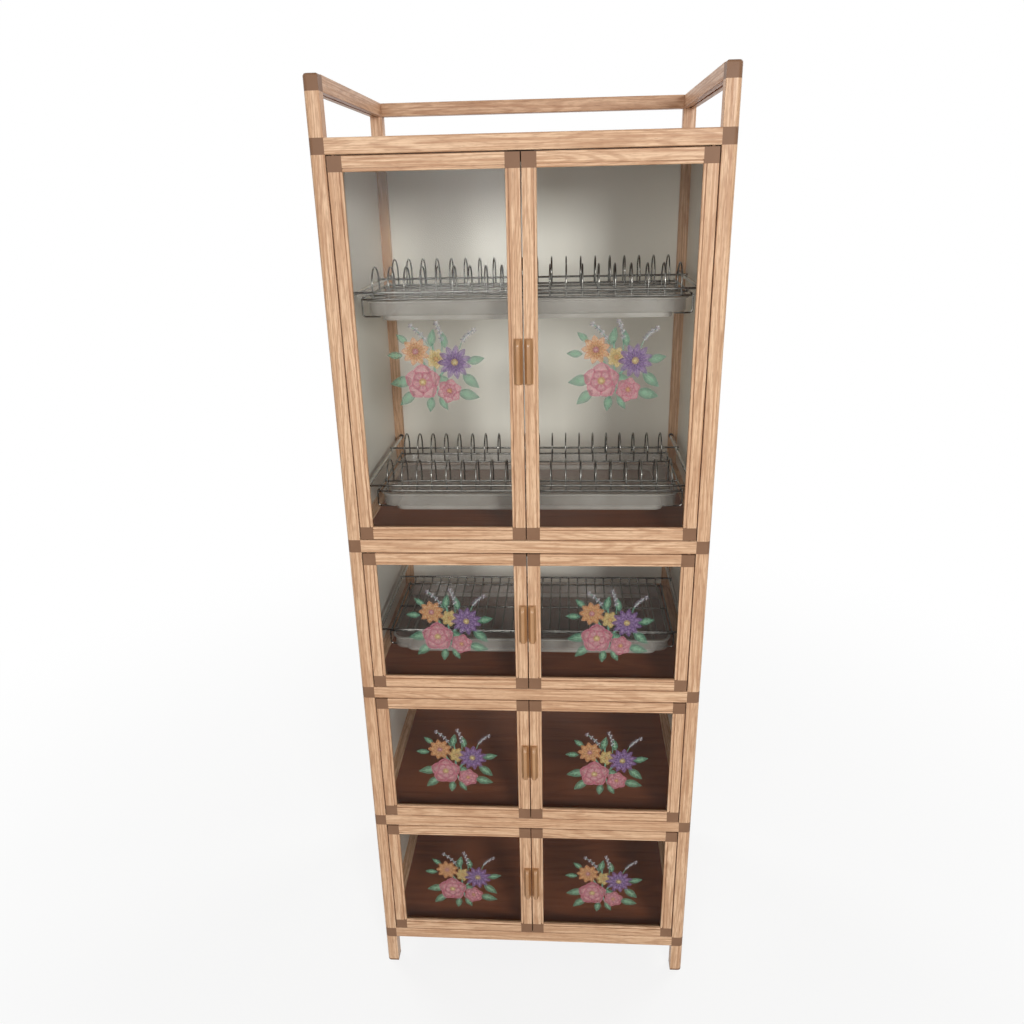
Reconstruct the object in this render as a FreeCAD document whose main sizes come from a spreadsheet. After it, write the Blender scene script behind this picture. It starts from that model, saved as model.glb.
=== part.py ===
import FreeCAD, Part
import os
import re
from FreeCAD import Placement, Rotation, Vector

# A free-standing dish cabinet of square aluminium tube with plastic corner connectors, four pairs
# of inset glazed doors, panels and shelf boards in grooves, and lift-out wire racks with drip trays.
# Millimetres. X to the right, Y from front to back, Z up from the floor, origin under the middle.

# Driving sizes: alias, value, meaning
SIZES = [
    ("cabinet_width", 670, "over the outer faces of the posts"),
    ("cabinet_depth", 500, "over the outer faces of the posts"),
    ("leg_height", 72, "floor to the underside of the bottom rails"),
    ("low_pitch", 318.5, "rail to rail in the three low compartments"),
    ("upper_pitch", 686, "rail to rail in the tall compartment"),
    ("gallery_rise", 91.5, "top rails to gallery rails"),
    ("tube", 25, "side of the square frame tube"),
    ("tube_round", 8, "radius of the outer corner of the posts"),
    ("tube_wall", 1.3, "wall of the frame and door extrusions"),
    ("groove_wall", 1.2, "wall round a groove"),
    ("panel_groove", 4, "depth of a panel or board groove"),
    ("groove_end", 0.5, "edge of a panel, board or pane from the bottom of its groove"),
    ("panel_thick", 3, "side and back panels"),
    ("board_thick", 6, "shelf boards and top board"),
    ("board_drop", 3, "board below the top of its rails"),
    ("groove_play", 0.2, "play on each side of a panel, board or pane"),
    ("spigot_play", 0.3, "connector spigots from the grooves inside the tubes"),
    ("spigot_reach", 14, "length of every spigot"),
    ("end_cap", 3, "cap on the rear end of a gallery side rail"),
    ("foot_flange", 4, "foot below its tube"),
    ("foot_plug", 12, "foot inside its tube"),
    ("plug_play", 0.2, "play round the foot plug"),
    ("door_gap", 2, "gap round and between the doors"),
    ("door_bar", 24, "face width of the door extrusion"),
    ("door_thick", 20, "depth of the door extrusion"),
    ("door_spigot", 10, "side of the door corner spigots"),
    ("door_spigot_edge", 4, "spigot from the outer edge of the door"),
    ("glass_thick", 4, "pane"),
    ("glass_set", 8, "middle of the pane behind the door face"),
    ("glass_groove", 6, "depth of the glazing groove"),
    ("pivot_inset", 10, "hinge axis from the outer edge of the door"),
    ("pivot_back", 5, "hinge axis behind the door face"),
    ("pin_radius", 3, "hinge pin"),
    ("pin_play", 0.05, "radial play of the hinge pin in its rail"),
    ("pin_reach", 3.5, "how far a hinge pin enters its rail"),
    ("pull_width", 15, "finger pull"),
    ("pull_height", 78, "finger pull"),
    ("pull_depth", 14, "finger pull in front of the door face"),
    ("pull_base", 4, "thickness of the plate of the pull"),
    ("pull_grip", 9, "width of the grip of the pull"),
    ("pull_edge", 0.5, "pull from the meeting edge of the door"),
    ("strike_width", 14, "steel strike plate"),
    ("strike_height", 10, "steel strike plate"),
    ("strike_thick", 1.2, "steel strike plate"),
    ("strike_edge", 4, "strike from the meeting edge and the top of the door"),
    ("catch_width", 42, "magnetic catch"),
    ("catch_body", 12, "depth of the catch behind the rail, and its hold on the rail"),
    ("catch_drop", 16, "catch below its rail"),
    ("catch_gap", 0.3, "strike to magnet"),
    ("bar_radius", 4, "rack bar"),
    ("cup_wall", 1.2, "cup round the end of a rack bar"),
    ("bar_set", 5.5, "middle of a rack bar outside the inner faces of the posts"),
    ("cup_length", 8, "cup on a post"),
    ("cup_play", 0.05, "radial play of a bar in its cup"),
    ("upper_bar_height", 431, "bars of the upper plate rack above the shelf rail"),
    ("lower_bar_height", 67, "bars of the lower plate rack above the shelf rail"),
    ("basket_bar_height", 70, "bars of the basket above the shelf rail"),
    ("seat_gap", 0.3, "between pieces that lie loose on each other"),
    ("weld_gap", 0.02, "between wires that touch at a weld"),
    ("rim_radius", 2, "rim wire of a rack"),
    ("rim_past", 2.5, "rim wire past the middle of its bar"),
    ("wire_radius", 1.8, "cross and base wires of a rack"),
    ("hoop_radius", 1.5, "hoop, grid and hanger wires"),
    ("rack_front", 100, "front rim wire behind the door face"),
    ("rack_depth", 255, "front rim wire to rear rim wire"),
    ("rack_drop", 12, "base wires below the rim wires"),
    ("end_inset", 19, "end wire from the inner face of the posts"),
    ("hoop_pitch", 28.8, "hoop to hoop"),
    ("hoop_span", 60, "leg to leg of a hoop"),
    ("hoop_rise", 41, "top of a hoop above the rim"),
    ("grid_pitch", 20, "grid wire to grid wire in the floor of the basket"),
    ("grid_bend", 5, "bend of a grid wire up to the rim"),
    ("grid_base", 16, "outer base wires of the basket from the rim wires"),
    ("hanger_bend", 6, "bend of a tray hanger"),
    ("hanger_foot", 26, "foot of a tray hanger"),
    ("tray_side", 7, "tray wall inside the end wires"),
    ("tray_before", 8, "tray wall in front of the front rim wire"),
    ("tray_after", 3, "tray wall behind the rear rim wire"),
    ("tray_height", 26, "drip tray above its ledge"),
    ("tray_wall", 2, "drip tray"),
    ("tray_lip", 4, "lip outside the tray wall"),
    ("tray_corner", 24, "corner of the tray"),
    ("tray_gap", 0.6, "tray lip below the base wires"),
    ("well_drop", 9, "well of a tray below its ledge"),
    ("well_edge", 5, "well from the front and rear walls of its tray"),
    ("well_clear", 2, "well from the feet of the hangers"),
]

doc = FreeCAD.newDocument("dish_cabinet")
sheet = doc.addObject("Spreadsheet::Sheet", "Sizes")
for row, (alias, value, meaning) in enumerate(SIZES, start=1):
    sheet.set(f"A{row}", meaning)
    sheet.set(f"B{row}", str(value))
    sheet.setAlias(f"B{row}", alias)
doc.recompute()

ALIASES = {alias for alias, value, meaning in SIZES}
AXES = "xyz"
nodes = {}


# Small tools for bound objects
def formula(text):
    """An expression in which each size's name points at its cell."""
    def cell(match):
        word = match.group(0)
        return f"Sizes.{word}" if word in ALIASES else word
    return re.sub(r"[a-z_]+", cell, text)


def bind(thing, prop, text):
    thing.setExpression(prop, formula(text))


def place(thing, at):
    for axis, text in zip(AXES, at):
        bind(thing, f"Placement.Base.{axis}", text)


def block(low, size):
    """A box from its low corner and its three sizes."""
    thing = doc.addObject("Part::Box", "block")
    for prop, text in zip(("Length", "Width", "Height"), size):
        bind(thing, prop, text)
    place(thing, low)
    return thing


TURN = {"x": Rotation(Vector(0, 1, 0), 90), "y": Rotation(Vector(1, 0, 0), -90), "z": Rotation()}


def round_bar(axis, start, radius, length):
    """A cylinder that runs from its start along one axis."""
    thing = doc.addObject("Part::Cylinder", "round_bar")
    thing.Placement = Placement(Vector(), TURN[axis])
    bind(thing, "Radius", radius)
    bind(thing, "Height", length)
    place(thing, start)
    return thing


def bend(at, radius, wire, angle, turn):
    """Part of a ring of round wire, turned about its middle."""
    thing = doc.addObject("Part::Torus", "bend")
    thing.Angle3 = angle
    thing.Placement = Placement(Vector(), turn)
    bind(thing, "Radius1", radius)
    bind(thing, "Radius2", wire)
    place(thing, at)
    return thing


def join(*things):
    fused = doc.addObject("Part::MultiFuse", "join")
    fused.Shapes = list(things)
    fused.Refine = True
    return fused


def cut(base, tool):
    result = doc.addObject("Part::Cut", "cut")
    result.Base = base
    result.Tool = tool
    return result


def group(things, at=None):
    """Separate solids side by side, moved as one where a place is given."""
    result = doc.addObject("Part::Compound", "group")
    result.Links = list(things)
    if at:
        place(result, at)
    return result


def mirrored(source):
    """The same piece on the other side of the cabinet."""
    result = doc.addObject("Part::Mirroring", "mirrored")
    result.Source = source
    result.Base = Vector(0, 0, 0)
    result.Normal = Vector(1, 0, 0)
    return result


def both_sides(things):
    left = group(things)
    return [left, mirrored(left)]


def node(name, thing):
    thing.Label = name
    nodes[name] = thing


def extrusion(axis, low, size, grooves=(), roundings=()):
    """A hollow section along one axis. A groove is its face's axis, the low or high side, the
    middle of the slot along the other axis, its width and its depth. Two roundings, if any, are
    cut from a corner of the section and from the same corner of its bore."""
    along = AXES.index(axis)
    bore_low = [f"{text} + tube_wall" for text in low]
    bore_size = [f"{text} - 2 * tube_wall" for text in size]
    bore_low[along] = low[along]
    bore_size[along] = size[along]
    outside = block(low, size)
    bore = block(bore_low, bore_size)
    if roundings:
        outside = cut(outside, roundings[0])
        bore = cut(bore, roundings[1])
    hollow = cut(outside, bore)
    if not grooves:
        return hollow
    ribs = []
    slots = []
    for face, side, middle, width, depth in grooves:
        across = AXES.index(face)
        other = 3 - along - across
        for made, wall in ((ribs, "groove_wall"), (slots, "0")):
            corner = list(low)
            extent = list(size)
            corner[other] = f"{low[other]} + {middle} - ({width}) / 2 - {wall}"
            extent[other] = f"{width} + 2 * {wall}"
            extent[across] = f"{depth} + {wall}"
            if side == "high":
                corner[across] = f"{low[across]} + {size[across]} - {depth} - {wall}"
            made.append(block(corner, extent))
    solid = join(hollow, *ribs)
    return cut(solid, slots[0] if len(slots) == 1 else join(*slots))


# Places that the pieces share
LEFT = "(-cabinet_width / 2)"
INNER = f"({LEFT} + tube)"
CLEAR_WIDTH = "(cabinet_width - 2 * tube)"
FRONT = "((pull_depth - cabinet_depth) / 2)"
BEHIND = f"({FRONT} + tube)"
REAR = f"({FRONT} + cabinet_depth - tube)"
CLEAR_DEPTH = "(cabinet_depth - 2 * tube)"
LOW_RAILS = [f"(leg_height + {level} * low_pitch)" for level in range(4)]
TOP_RAIL = f"({LOW_RAILS[3]} + upper_pitch)"
RAILS = LOW_RAILS + [TOP_RAIL]
GALLERY = f"({TOP_RAIL} + gallery_rise)"
LOW_CLEAR = "(low_pitch - tube)"
UPPER_CLEAR = "(upper_pitch - tube)"
CLEAR_HEIGHTS = [LOW_CLEAR, LOW_CLEAR, LOW_CLEAR, UPPER_CLEAR]
FLOORS = [f"({rail} + tube)" for rail in LOW_RAILS]
TUBE = ["tube", "tube", "tube"]

SPIGOT = "(tube - 2 * (panel_groove + groove_wall + spigot_play))"
TONGUE = "(panel_groove - groove_end)"
SIDE_SET = "(tube_wall + groove_play + panel_thick / 2)"
SIDE_SLOT = (SIDE_SET, "panel_thick + 2 * groove_play", "panel_groove")
BACK_SLOT = ("tube / 2", "panel_thick + 2 * groove_play", "panel_groove")
BOARD_SLOT = ("tube - board_drop - board_thick / 2", "board_thick + 2 * groove_play", "panel_groove")


def rounding(y, inset):
    """What the round outer corner of a left post takes off, or the same further inside the post."""
    radius = f"(tube_round - {inset})"
    middle = f"({y} + tube_round)" if y == FRONT else f"({y} + tube - tube_round)"
    edge = f"{middle} - {radius}" if y == FRONT else middle
    square = block([f"{LEFT} + {inset}", edge, "0"], [radius, radius, f"{GALLERY} + tube"])
    return cut(square, round_bar("z", [f"{LEFT} + tube_round", middle, "0"], radius, f"{GALLERY} + tube"))


# Posts: tube lengths between the connectors, the legs and the gallery ends plain
def post(y, grooves):
    corner = [rounding(y, "0"), rounding(y, "tube_wall")]

    def length(low, height, cuts=()):
        return extrusion("z", [LEFT, y, low], ["tube", "tube", height], cuts, corner)
    pieces = [length("foot_flange", "leg_height - foot_flange")]
    pieces += [length(floor, clear, grooves) for floor, clear in zip(FLOORS, CLEAR_HEIGHTS)]
    pieces.append(length(f"{TOP_RAIL} + tube", "gallery_rise - tube"))
    return pieces


node("front_posts", group(both_sides(post(FRONT, [("y", "high", *SIDE_SLOT)]))))
node("rear_posts", group(both_sides(post(REAR, [("y", "low", *SIDE_SLOT), ("x", "high", *BACK_SLOT)]))))


# Rails: grooves for the boards inside and for the panels above and below
def panel_grooves(level, slot):
    above = [("z", "high", *slot)] if level < 4 else []
    below = [("z", "low", *slot)] if level > 0 else []
    return above + below


PIVOT_X = f"({INNER} + door_gap + pivot_inset)"
PIVOT_Y = f"({FRONT} + pivot_back)"


def hinge_holes(level, rail):
    """Holes through the walls of a front rail for the pins of the doors above and below it."""
    above = [f"{rail} + tube - 2 * tube_wall"] if level < 4 else []
    below = [f"{rail} - tube_wall"] if level > 0 else []
    drills = []
    for x in (PIVOT_X, f"(-{PIVOT_X})"):
        for low in above + below:
            drills.append(round_bar("z", [x, PIVOT_Y, low], "pin_radius + pin_play", "3 * tube_wall"))
    return join(*drills)


ACROSS = [CLEAR_WIDTH, "tube", "tube"]
DEEP = ["tube", CLEAR_DEPTH, "tube"]
front_rails = []
rear_rails = []
side_rails = []
for level, rail in enumerate(RAILS):
    bar = extrusion("x", [INNER, FRONT, rail], ACROSS, [("y", "high", *BOARD_SLOT)])
    front_rails.append(cut(bar, hinge_holes(level, rail)))
    inside = ("y", "low", *BOARD_SLOT)
    grooves = [inside] + panel_grooves(level, BACK_SLOT)
    rear_rails.append(extrusion("x", [INNER, REAR, rail], ACROSS, grooves))
    inside = ("x", "high", *BOARD_SLOT)
    grooves = [inside] + panel_grooves(level, SIDE_SLOT)
    side_rails.append(extrusion("y", [LEFT, BEHIND, rail], DEEP, grooves))
node("front_rails", group(front_rails))
node("rear_rails", group(rear_rails))
node("side_rails", group(both_sides(side_rails)))


# Corner connectors: a cube with a spigot in each tube that meets it
SPIGOT_INSET = f"(tube - {SPIGOT}) / 2"


def connector(y, low, has_rail, has_upper):
    x_low = f"{LEFT} + {SPIGOT_INSET}"
    y_low = f"{y} + {SPIGOT_INSET}"
    z_low = f"{low} + {SPIGOT_INSET}"
    upright = f"tube + {2 if has_upper else 1} * spigot_reach"
    side_start = f"{y} + tube_round" if y == FRONT else f"{y} - spigot_reach"
    side_reach = "tube + spigot_reach - tube_round"
    parts = [cut(block([LEFT, y, low], TUBE), rounding(y, "0"))]
    parts.append(block([x_low, y_low, f"{low} - spigot_reach"], [SPIGOT, SPIGOT, upright]))
    parts.append(block([x_low, side_start, z_low], [SPIGOT, side_reach, SPIGOT]))
    if has_rail:
        parts.append(block([f"{LEFT} + tube_round", y_low, z_low], [side_reach, SPIGOT, SPIGOT]))
    return join(*parts)


def gallery_joint():
    """Hidden where the gallery's side rail lies on the rear post: a cap on the rail's rear end, and
    a core in the rail with a spigot down into the post and one into the rear rail."""
    x_low = f"{LEFT} + {SPIGOT_INSET}"
    y_low = f"{REAR} + {SPIGOT_INSET}"
    z_low = f"{GALLERY} + {SPIGOT_INSET}"
    reach = f"{SPIGOT_INSET} + {SPIGOT} + spigot_reach"
    return join(
        block([LEFT, f"{REAR} + tube - end_cap", GALLERY], ["tube", "end_cap", "tube"]),
        block([x_low, y_low, z_low], [SPIGOT, f"{SPIGOT_INSET} + {SPIGOT}", SPIGOT]),
        block([x_low, y_low, f"{GALLERY} - spigot_reach"], [SPIGOT, SPIGOT, reach]),
        block([x_low, y_low, z_low], [reach, SPIGOT, SPIGOT]),
    )


rear_joint = gallery_joint()
connectors = [connector(y, rail, True, True) for y in (FRONT, REAR) for rail in RAILS]
connectors += [connector(FRONT, GALLERY, False, False), rear_joint]
node("frame_connectors", group(both_sides(connectors)))

# Gallery: the side rails run over the rear posts and the rear rail fits between them
over_post = ["tube", f"{CLEAR_DEPTH} + tube - end_cap", "tube"]
gallery_side = cut(extrusion("y", [LEFT, BEHIND, GALLERY], over_post), rear_joint)
gallery_rear = extrusion("x", [INNER, REAR, GALLERY], ACROSS)
node("gallery_rails", group(both_sides([gallery_side]) + [gallery_rear]))


# Feet: a flange under each leg and a plug in its bore
def foot(y):
    inset = "(tube_wall + plug_play)"
    side = f"tube - 2 * {inset}"
    flange = block([LEFT, y, "0"], ["tube", "tube", "foot_flange"])
    plug = block([f"{LEFT} + {inset}", f"{y} + {inset}", "0"], [side, side, "foot_flange + foot_plug"])
    return join(cut(flange, rounding(y, "0")), cut(plug, rounding(y, inset)))


node("feet", group(both_sides([foot(FRONT), foot(REAR)])))


# Panels and boards: a sheet whose four edges enter the grooves, with its corners cut out
def sheet_in_grooves(thin_axis, low, size):
    thin = AXES.index(thin_axis)
    parts = []
    for longer in range(3):
        if longer == thin:
            continue
        corner = list(low)
        extent = list(size)
        corner[longer] = f"{low[longer]} - {TONGUE}"
        extent[longer] = f"{size[longer]} + 2 * {TONGUE}"
        parts.append(block(corner, extent))
    return join(*parts)


side_x = f"{LEFT} + {SIDE_SET} - panel_thick / 2"
back_y = f"{REAR} + (tube - panel_thick) / 2"
side_panels = []
back_panels = []
for floor, clear in zip(FLOORS, CLEAR_HEIGHTS):
    side_size = ["panel_thick", CLEAR_DEPTH, clear]
    side_panels.append(sheet_in_grooves("x", [side_x, BEHIND, floor], side_size))
    back_size = [CLEAR_WIDTH, "panel_thick", clear]
    back_panels.append(sheet_in_grooves("y", [INNER, back_y, floor], back_size))
node("side_panels", group(both_sides(side_panels)))
node("back_panels", group(back_panels))

boards = []
board_size = [CLEAR_WIDTH, CLEAR_DEPTH, "board_thick"]
for rail in RAILS:
    board_low = f"{rail} + tube - board_drop - board_thick"
    boards.append(sheet_in_grooves("z", [INNER, BEHIND, board_low], board_size))
node("shelf_boards", group(boards))

# Rack bars between the posts, each end in a plastic cup
BAR_X = f"({INNER} - bar_set)"
BAR_LEVELS = {
    "upper_plate_rack": f"({FLOORS[3]} + upper_bar_height)",
    "lower_plate_rack": f"({FLOORS[3]} + lower_bar_height)",
    "basket_rack": f"({FLOORS[2]} + basket_bar_height)",
}
bars = []
cups = []
for level in BAR_LEVELS.values():
    bars.append(round_bar("y", [BAR_X, BEHIND, level], "bar_radius", CLEAR_DEPTH))
    for y in (BEHIND, f"{REAR} - cup_length"):
        outside = round_bar("y", [BAR_X, y, level], "bar_radius + cup_wall", "cup_length")
        inside = round_bar("y", [BAR_X, y, level], "bar_radius + cup_play", "cup_length")
        cups.append(cut(outside, inside))
node("rack_bars", group(both_sides(bars)))
node("bar_cups", group(both_sides(cups)))

# Magnetic catches: a body behind the rail above each pair of doors, a nose that meets the strikes
catches = []
for rail in RAILS[1:]:
    body = block(["-catch_width / 2", BEHIND, rail], ["catch_width", "catch_body", "catch_body"])
    nose_y = f"{FRONT} + door_thick + strike_thick + catch_gap"
    nose_depth = "tube + catch_body - door_thick - strike_thick - catch_gap"
    nose_low = ["-catch_width / 2", nose_y, f"{rail} - catch_drop"]
    catches.append(join(body, block(nose_low, ["catch_width", nose_depth, "catch_drop"])))
node("magnetic_catches", group(catches))

# Wire racks, made with the middle of their bars at height zero and then lifted into place
RIM_Z = "(bar_radius + seat_gap + rim_radius)"
BASE_Z = f"({RIM_Z} - rack_drop)"
BASE_TOP = f"({BASE_Z} + wire_radius + weld_gap)"
END_Z = f"({BASE_TOP} + wire_radius)"
END_X = f"({INNER} + end_inset)"
LEG_X = f"({END_X} - wire_radius - hoop_radius - weld_gap)"
RACK_Y = f"({FRONT} + rack_front)"
RACK_END = f"({RACK_Y} + rack_depth)"
UPRIGHT_INSET = "(rim_radius + weld_gap + hoop_radius)"
FIRST_Y = f"({RACK_Y} + {UPRIGHT_INSET})"
LAST_Y = f"({RACK_END} - {UPRIGHT_INSET})"
TRAY_LOW = f"({BASE_Z} - wire_radius - tray_gap - tray_height)"


def long_wire(y, z, radius, reach):
    return round_bar("x", [reach, y, z], radius, f"-2 * {reach}")


def rack_frame(base_rows):
    """Rim wires on the bars, base wires below them, cross wires on those, and the tray's hangers."""
    rim_reach = f"({BAR_X} - rim_past)"
    base_reach = f"({END_X} - wire_radius)"
    wires = [long_wire(y, RIM_Z, "rim_radius", rim_reach) for y in (RACK_Y, RACK_END)]
    wires += [long_wire(y, BASE_Z, "wire_radius", base_reach) for y in base_rows]
    first = base_rows[0]
    last = base_rows[-1]
    cross_length = f"{last} - {first} + 2 * wire_radius"
    for x in (END_X, "0", f"(-{END_X})"):
        wires.append(round_bar("y", [x, f"{first} - wire_radius", END_Z], "wire_radius", cross_length))
    return wires + both_sides(hanger(first) + hanger(last))


def hanger(y):
    """A wire down from the end of a base wire, and its foot bent inwards under the tray."""
    foot_z = f"({TRAY_LOW} - seat_gap - hoop_radius)"
    bend_z = f"({foot_z} + hanger_bend)"
    leg = round_bar("z", [LEG_X, y, bend_z], "hoop_radius", f"{BASE_TOP} - {bend_z}")
    corner = bend([f"{LEG_X} + hanger_bend", y, bend_z], "hanger_bend", "hoop_radius", 90,
                  Rotation(Vector(1, 0, 0), 90) * Rotation(Vector(0, 0, 1), 180))
    sole = round_bar("x", [f"{LEG_X} + hanger_bend", y, foot_z], "hoop_radius", "hanger_foot")
    return [leg, join(corner, sole)]


def hoop(y):
    """Two legs and a half round top in a plane across the cabinet's width."""
    top_z = f"({RIM_Z} + hoop_rise - hoop_span / 2)"
    leg = f"{top_z} - {BASE_TOP}"
    parts = [round_bar("z", ["0", y, BASE_TOP], "hoop_radius", leg)]
    parts.append(round_bar("z", ["0", f"{y} + hoop_span", BASE_TOP], "hoop_radius", leg))
    upright = Rotation(Vector(0, 0, 1), 90) * Rotation(Vector(1, 0, 0), 90)
    middle = ["0", f"{y} + hoop_span / 2", top_z]
    parts.append(bend(middle, "hoop_span / 2", "hoop_radius", 180, upright))
    return join(*parts)


def in_a_row(thing, pitch, first):
    """Copies in pairs about the middle of the cabinet, as many as the end wires leave room for. The
    first pair stands this many pitches from the middle."""
    room = sheet.cabinet_width / 2 - sheet.tube - sheet.end_inset
    step = sheet.get(pitch)
    pairs = int(room / step - 0.5 - first) + 1
    places = [f"({first} + {index}) * {pitch}" for index in range(pairs)]
    return [group([thing], [f"{sign} * {x}", "0", "0"]) for x in places for sign in (1, -1)]


def grid_wire():
    """A floor wire of the basket, bent up at both ends to the rim wires."""
    floor_z = f"({BASE_TOP} + hoop_radius)"
    bend_z = f"({floor_z} + grid_bend)"
    rise = f"{RIM_Z} - {bend_z}"
    start = f"({FIRST_Y} + grid_bend)"
    end = f"({LAST_Y} - grid_bend)"
    upright = Rotation(Vector(0, 0, 1), 90) * Rotation(Vector(1, 0, 0), 90)
    quarter = Rotation(Vector(0, 0, 1), 90)
    half = Rotation(Vector(0, 0, 1), 180)
    parts = [round_bar("y", ["0", start, floor_z], "hoop_radius", f"{end} - {start}")]
    for y, bend_y, turn in ((FIRST_Y, start, half), (LAST_Y, end, half * quarter)):
        parts.append(bend(["0", bend_y, bend_z], "grid_bend", "hoop_radius", 90, upright * turn))
        parts.append(round_bar("z", ["0", y, bend_z], "hoop_radius", rise))
    return join(*parts)


plate_wires = rack_frame([FIRST_Y, f"({FIRST_Y} + hoop_span)", f"({LAST_Y} - hoop_span)", LAST_Y])
for row in (FIRST_Y, f"({LAST_Y} - hoop_span)"):
    plate_wires += in_a_row(hoop(row), "hoop_pitch", 0.5)
plate_rack = group(plate_wires)

basket_rows = [f"({RACK_Y} + grid_base)", f"({RACK_Y} + rack_depth / 2)", f"({RACK_END} - grid_base)"]
basket = group(rack_frame(basket_rows) + in_a_row(grid_wire(), "grid_pitch", 1))

for name, rack in (("upper_plate_rack", plate_rack), ("lower_plate_rack", plate_rack),
                   ("basket_rack", basket)):
    node(name, group([rack], ["0", "0", BAR_LEVELS[name]]))


# Drip trays: a round cornered pan with a lip, lying on the hangers, and a well between their feet
def rounded_slab(low, size, radius):
    """A flat block with four upright round corners."""
    near = [f"{text} + {radius}" for text in low]
    far = [f"{text} + {extent} - {radius}" for text, extent in zip(low, size)]
    less = [f"{extent} - 2 * {radius}" for extent in size]
    parts = [block([near[0], low[1], low[2]], [less[0], size[1], size[2]])]
    parts.append(block([low[0], near[1], low[2]], [size[0], less[1], size[2]]))
    for x in (near[0], far[0]):
        for y in (near[1], far[1]):
            parts.append(round_bar("z", [x, y, low[2]], radius, size[2]))
    return join(*parts)


def grown_slab(x, grow, low_z, height):
    """The plan of the tray from one end at x, grown all round."""
    low = [f"({x} - {grow})", f"({RACK_Y} - tray_before - {grow})", low_z]
    width = f"(-2 * ({x} - {grow}))"
    depth = f"(rack_depth + tray_before + tray_after + 2 * {grow})"
    return rounded_slab(low, [width, depth, height], f"(tray_corner + {grow})")


TRAY_X = f"({END_X} + tray_side)"
WELL_X = f"({LEG_X} + hanger_bend + hanger_foot + well_clear - well_edge)"
WELL_LOW = f"({TRAY_LOW} - well_drop)"
pan = grown_slab(TRAY_X, "0", TRAY_LOW, "tray_height")
lip = grown_slab(TRAY_X, "tray_lip", f"({TRAY_LOW} + tray_height - tray_wall)", "tray_wall")
well = grown_slab(WELL_X, "(-well_edge)", WELL_LOW, "well_drop")
hollow = grown_slab(TRAY_X, "(-tray_wall)", f"({TRAY_LOW} + tray_wall)", "tray_height")
sunk = grown_slab(WELL_X, "(-well_edge - tray_wall)", f"({WELL_LOW} + tray_wall)", "well_drop")
tray = cut(join(pan, lip, well), join(hollow, sunk))
for name, rack in (("upper_drip_tray", "upper_plate_rack"), ("lower_drip_tray", "lower_plate_rack"),
                   ("basket_drip_tray", "basket_rack")):
    node(name, group([tray], ["0", "0", BAR_LEVELS[rack]]))

# Doors: made on the left with the rail's top face at height zero, then lifted and mirrored
DOOR_X = f"({INNER} + door_gap)"
DOOR_END = "(-door_gap / 2)"
BAR_RUN = f"({DOOR_END} - {DOOR_X} - 2 * door_bar)"
GLASS_SLOT = ("glass_set", "glass_thick + 2 * groove_play", "glass_groove")


def door_frame(clear):
    """Two stiles and two rails, each with a glazing groove on its inner face."""
    low = "door_gap"
    high = f"({clear} - door_gap - door_bar)"
    stile = ["door_bar", "door_thick", f"({clear} - 2 * door_gap - 2 * door_bar)"]
    rail = [BAR_RUN, "door_thick", "door_bar"]
    rail_x = f"({DOOR_X} + door_bar)"
    return [
        extrusion("z", [DOOR_X, FRONT, f"{low} + door_bar"], stile, [("x", "high", *GLASS_SLOT)]),
        extrusion("z", [f"{DOOR_END} - door_bar", FRONT, f"{low} + door_bar"], stile,
                  [("x", "low", *GLASS_SLOT)]),
        extrusion("x", [rail_x, FRONT, low], rail, [("z", "high", *GLASS_SLOT)]),
        extrusion("x", [rail_x, FRONT, high], rail, [("z", "low", *GLASS_SLOT)]),
    ]


def pane(clear, grow):
    """The glass, or the pocket that takes it where it grows by the play."""
    inset = f"(door_bar - glass_groove + groove_end - {grow})"
    thick = f"(glass_thick + 2 * {grow})"
    low = [f"{DOOR_X} + {inset}", f"{FRONT} + glass_set - {thick} / 2", f"door_gap + {inset}"]
    width = f"{DOOR_END} - {DOOR_X} - 2 * {inset}"
    return block(low, [width, thick, f"{clear} - 2 * door_gap - 2 * {inset}"])


def door_corners(clear):
    """A block in each corner with spigots in the two bars, and the hinge pins on the outer side."""
    pocket = pane(clear, "groove_play")
    spigot_y = f"{FRONT} + (door_thick - door_spigot) / 2"
    reach = "door_bar + spigot_reach - door_spigot_edge"
    near = "door_spigot_edge"
    far = "door_bar - door_spigot_edge - door_spigot"
    made = []
    for outer in (True, False):
        for bottom in (True, False):
            x = DOOR_X if outer else f"({DOOR_END} - door_bar)"
            z = "door_gap" if bottom else f"({clear} - door_gap - door_bar)"
            spigot_x = f"{x} + {near}" if outer else f"{x} + {far}"
            spigot_z = f"{z} + {near}" if bottom else f"{z} + {far}"
            run_x = spigot_x if outer else f"{x} - spigot_reach"
            run_z = spigot_z if bottom else f"{z} - spigot_reach"
            parts = [
                block([x, FRONT, z], ["door_bar", "door_thick", "door_bar"]),
                block([spigot_x, spigot_y, run_z], ["door_spigot", "door_spigot", reach]),
                block([run_x, spigot_y, spigot_z], [reach, "door_spigot", "door_spigot"]),
            ]
            if outer:
                pin = [PIVOT_X, PIVOT_Y, "-pin_reach" if bottom else f"{clear} - door_gap"]
                parts.append(round_bar("z", pin, "pin_radius", "door_gap + pin_reach"))
            made.append(cut(join(*parts), pocket))
    return made


def finger_pull(clear):
    """A plate on the meeting stile and an upright grip on its middle."""
    low = f"{clear} / 2 - pull_height / 2"
    x = f"({DOOR_END} - pull_edge - pull_width)"
    plate = block([x, f"{FRONT} - pull_base", low], ["pull_width", "pull_base", "pull_height"])
    grip_x = f"{x} + (pull_width - pull_grip) / 2"
    grip = block([grip_x, f"{FRONT} - pull_depth", low], ["pull_grip", "pull_depth", "pull_height"])
    return join(plate, grip)


def strike(clear):
    low = [f"{DOOR_END} - strike_edge - strike_width", f"{FRONT} + door_thick",
           f"{clear} - door_gap - strike_edge - strike_height"]
    return block(low, ["strike_width", "strike_thick", "strike_height"])


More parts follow.
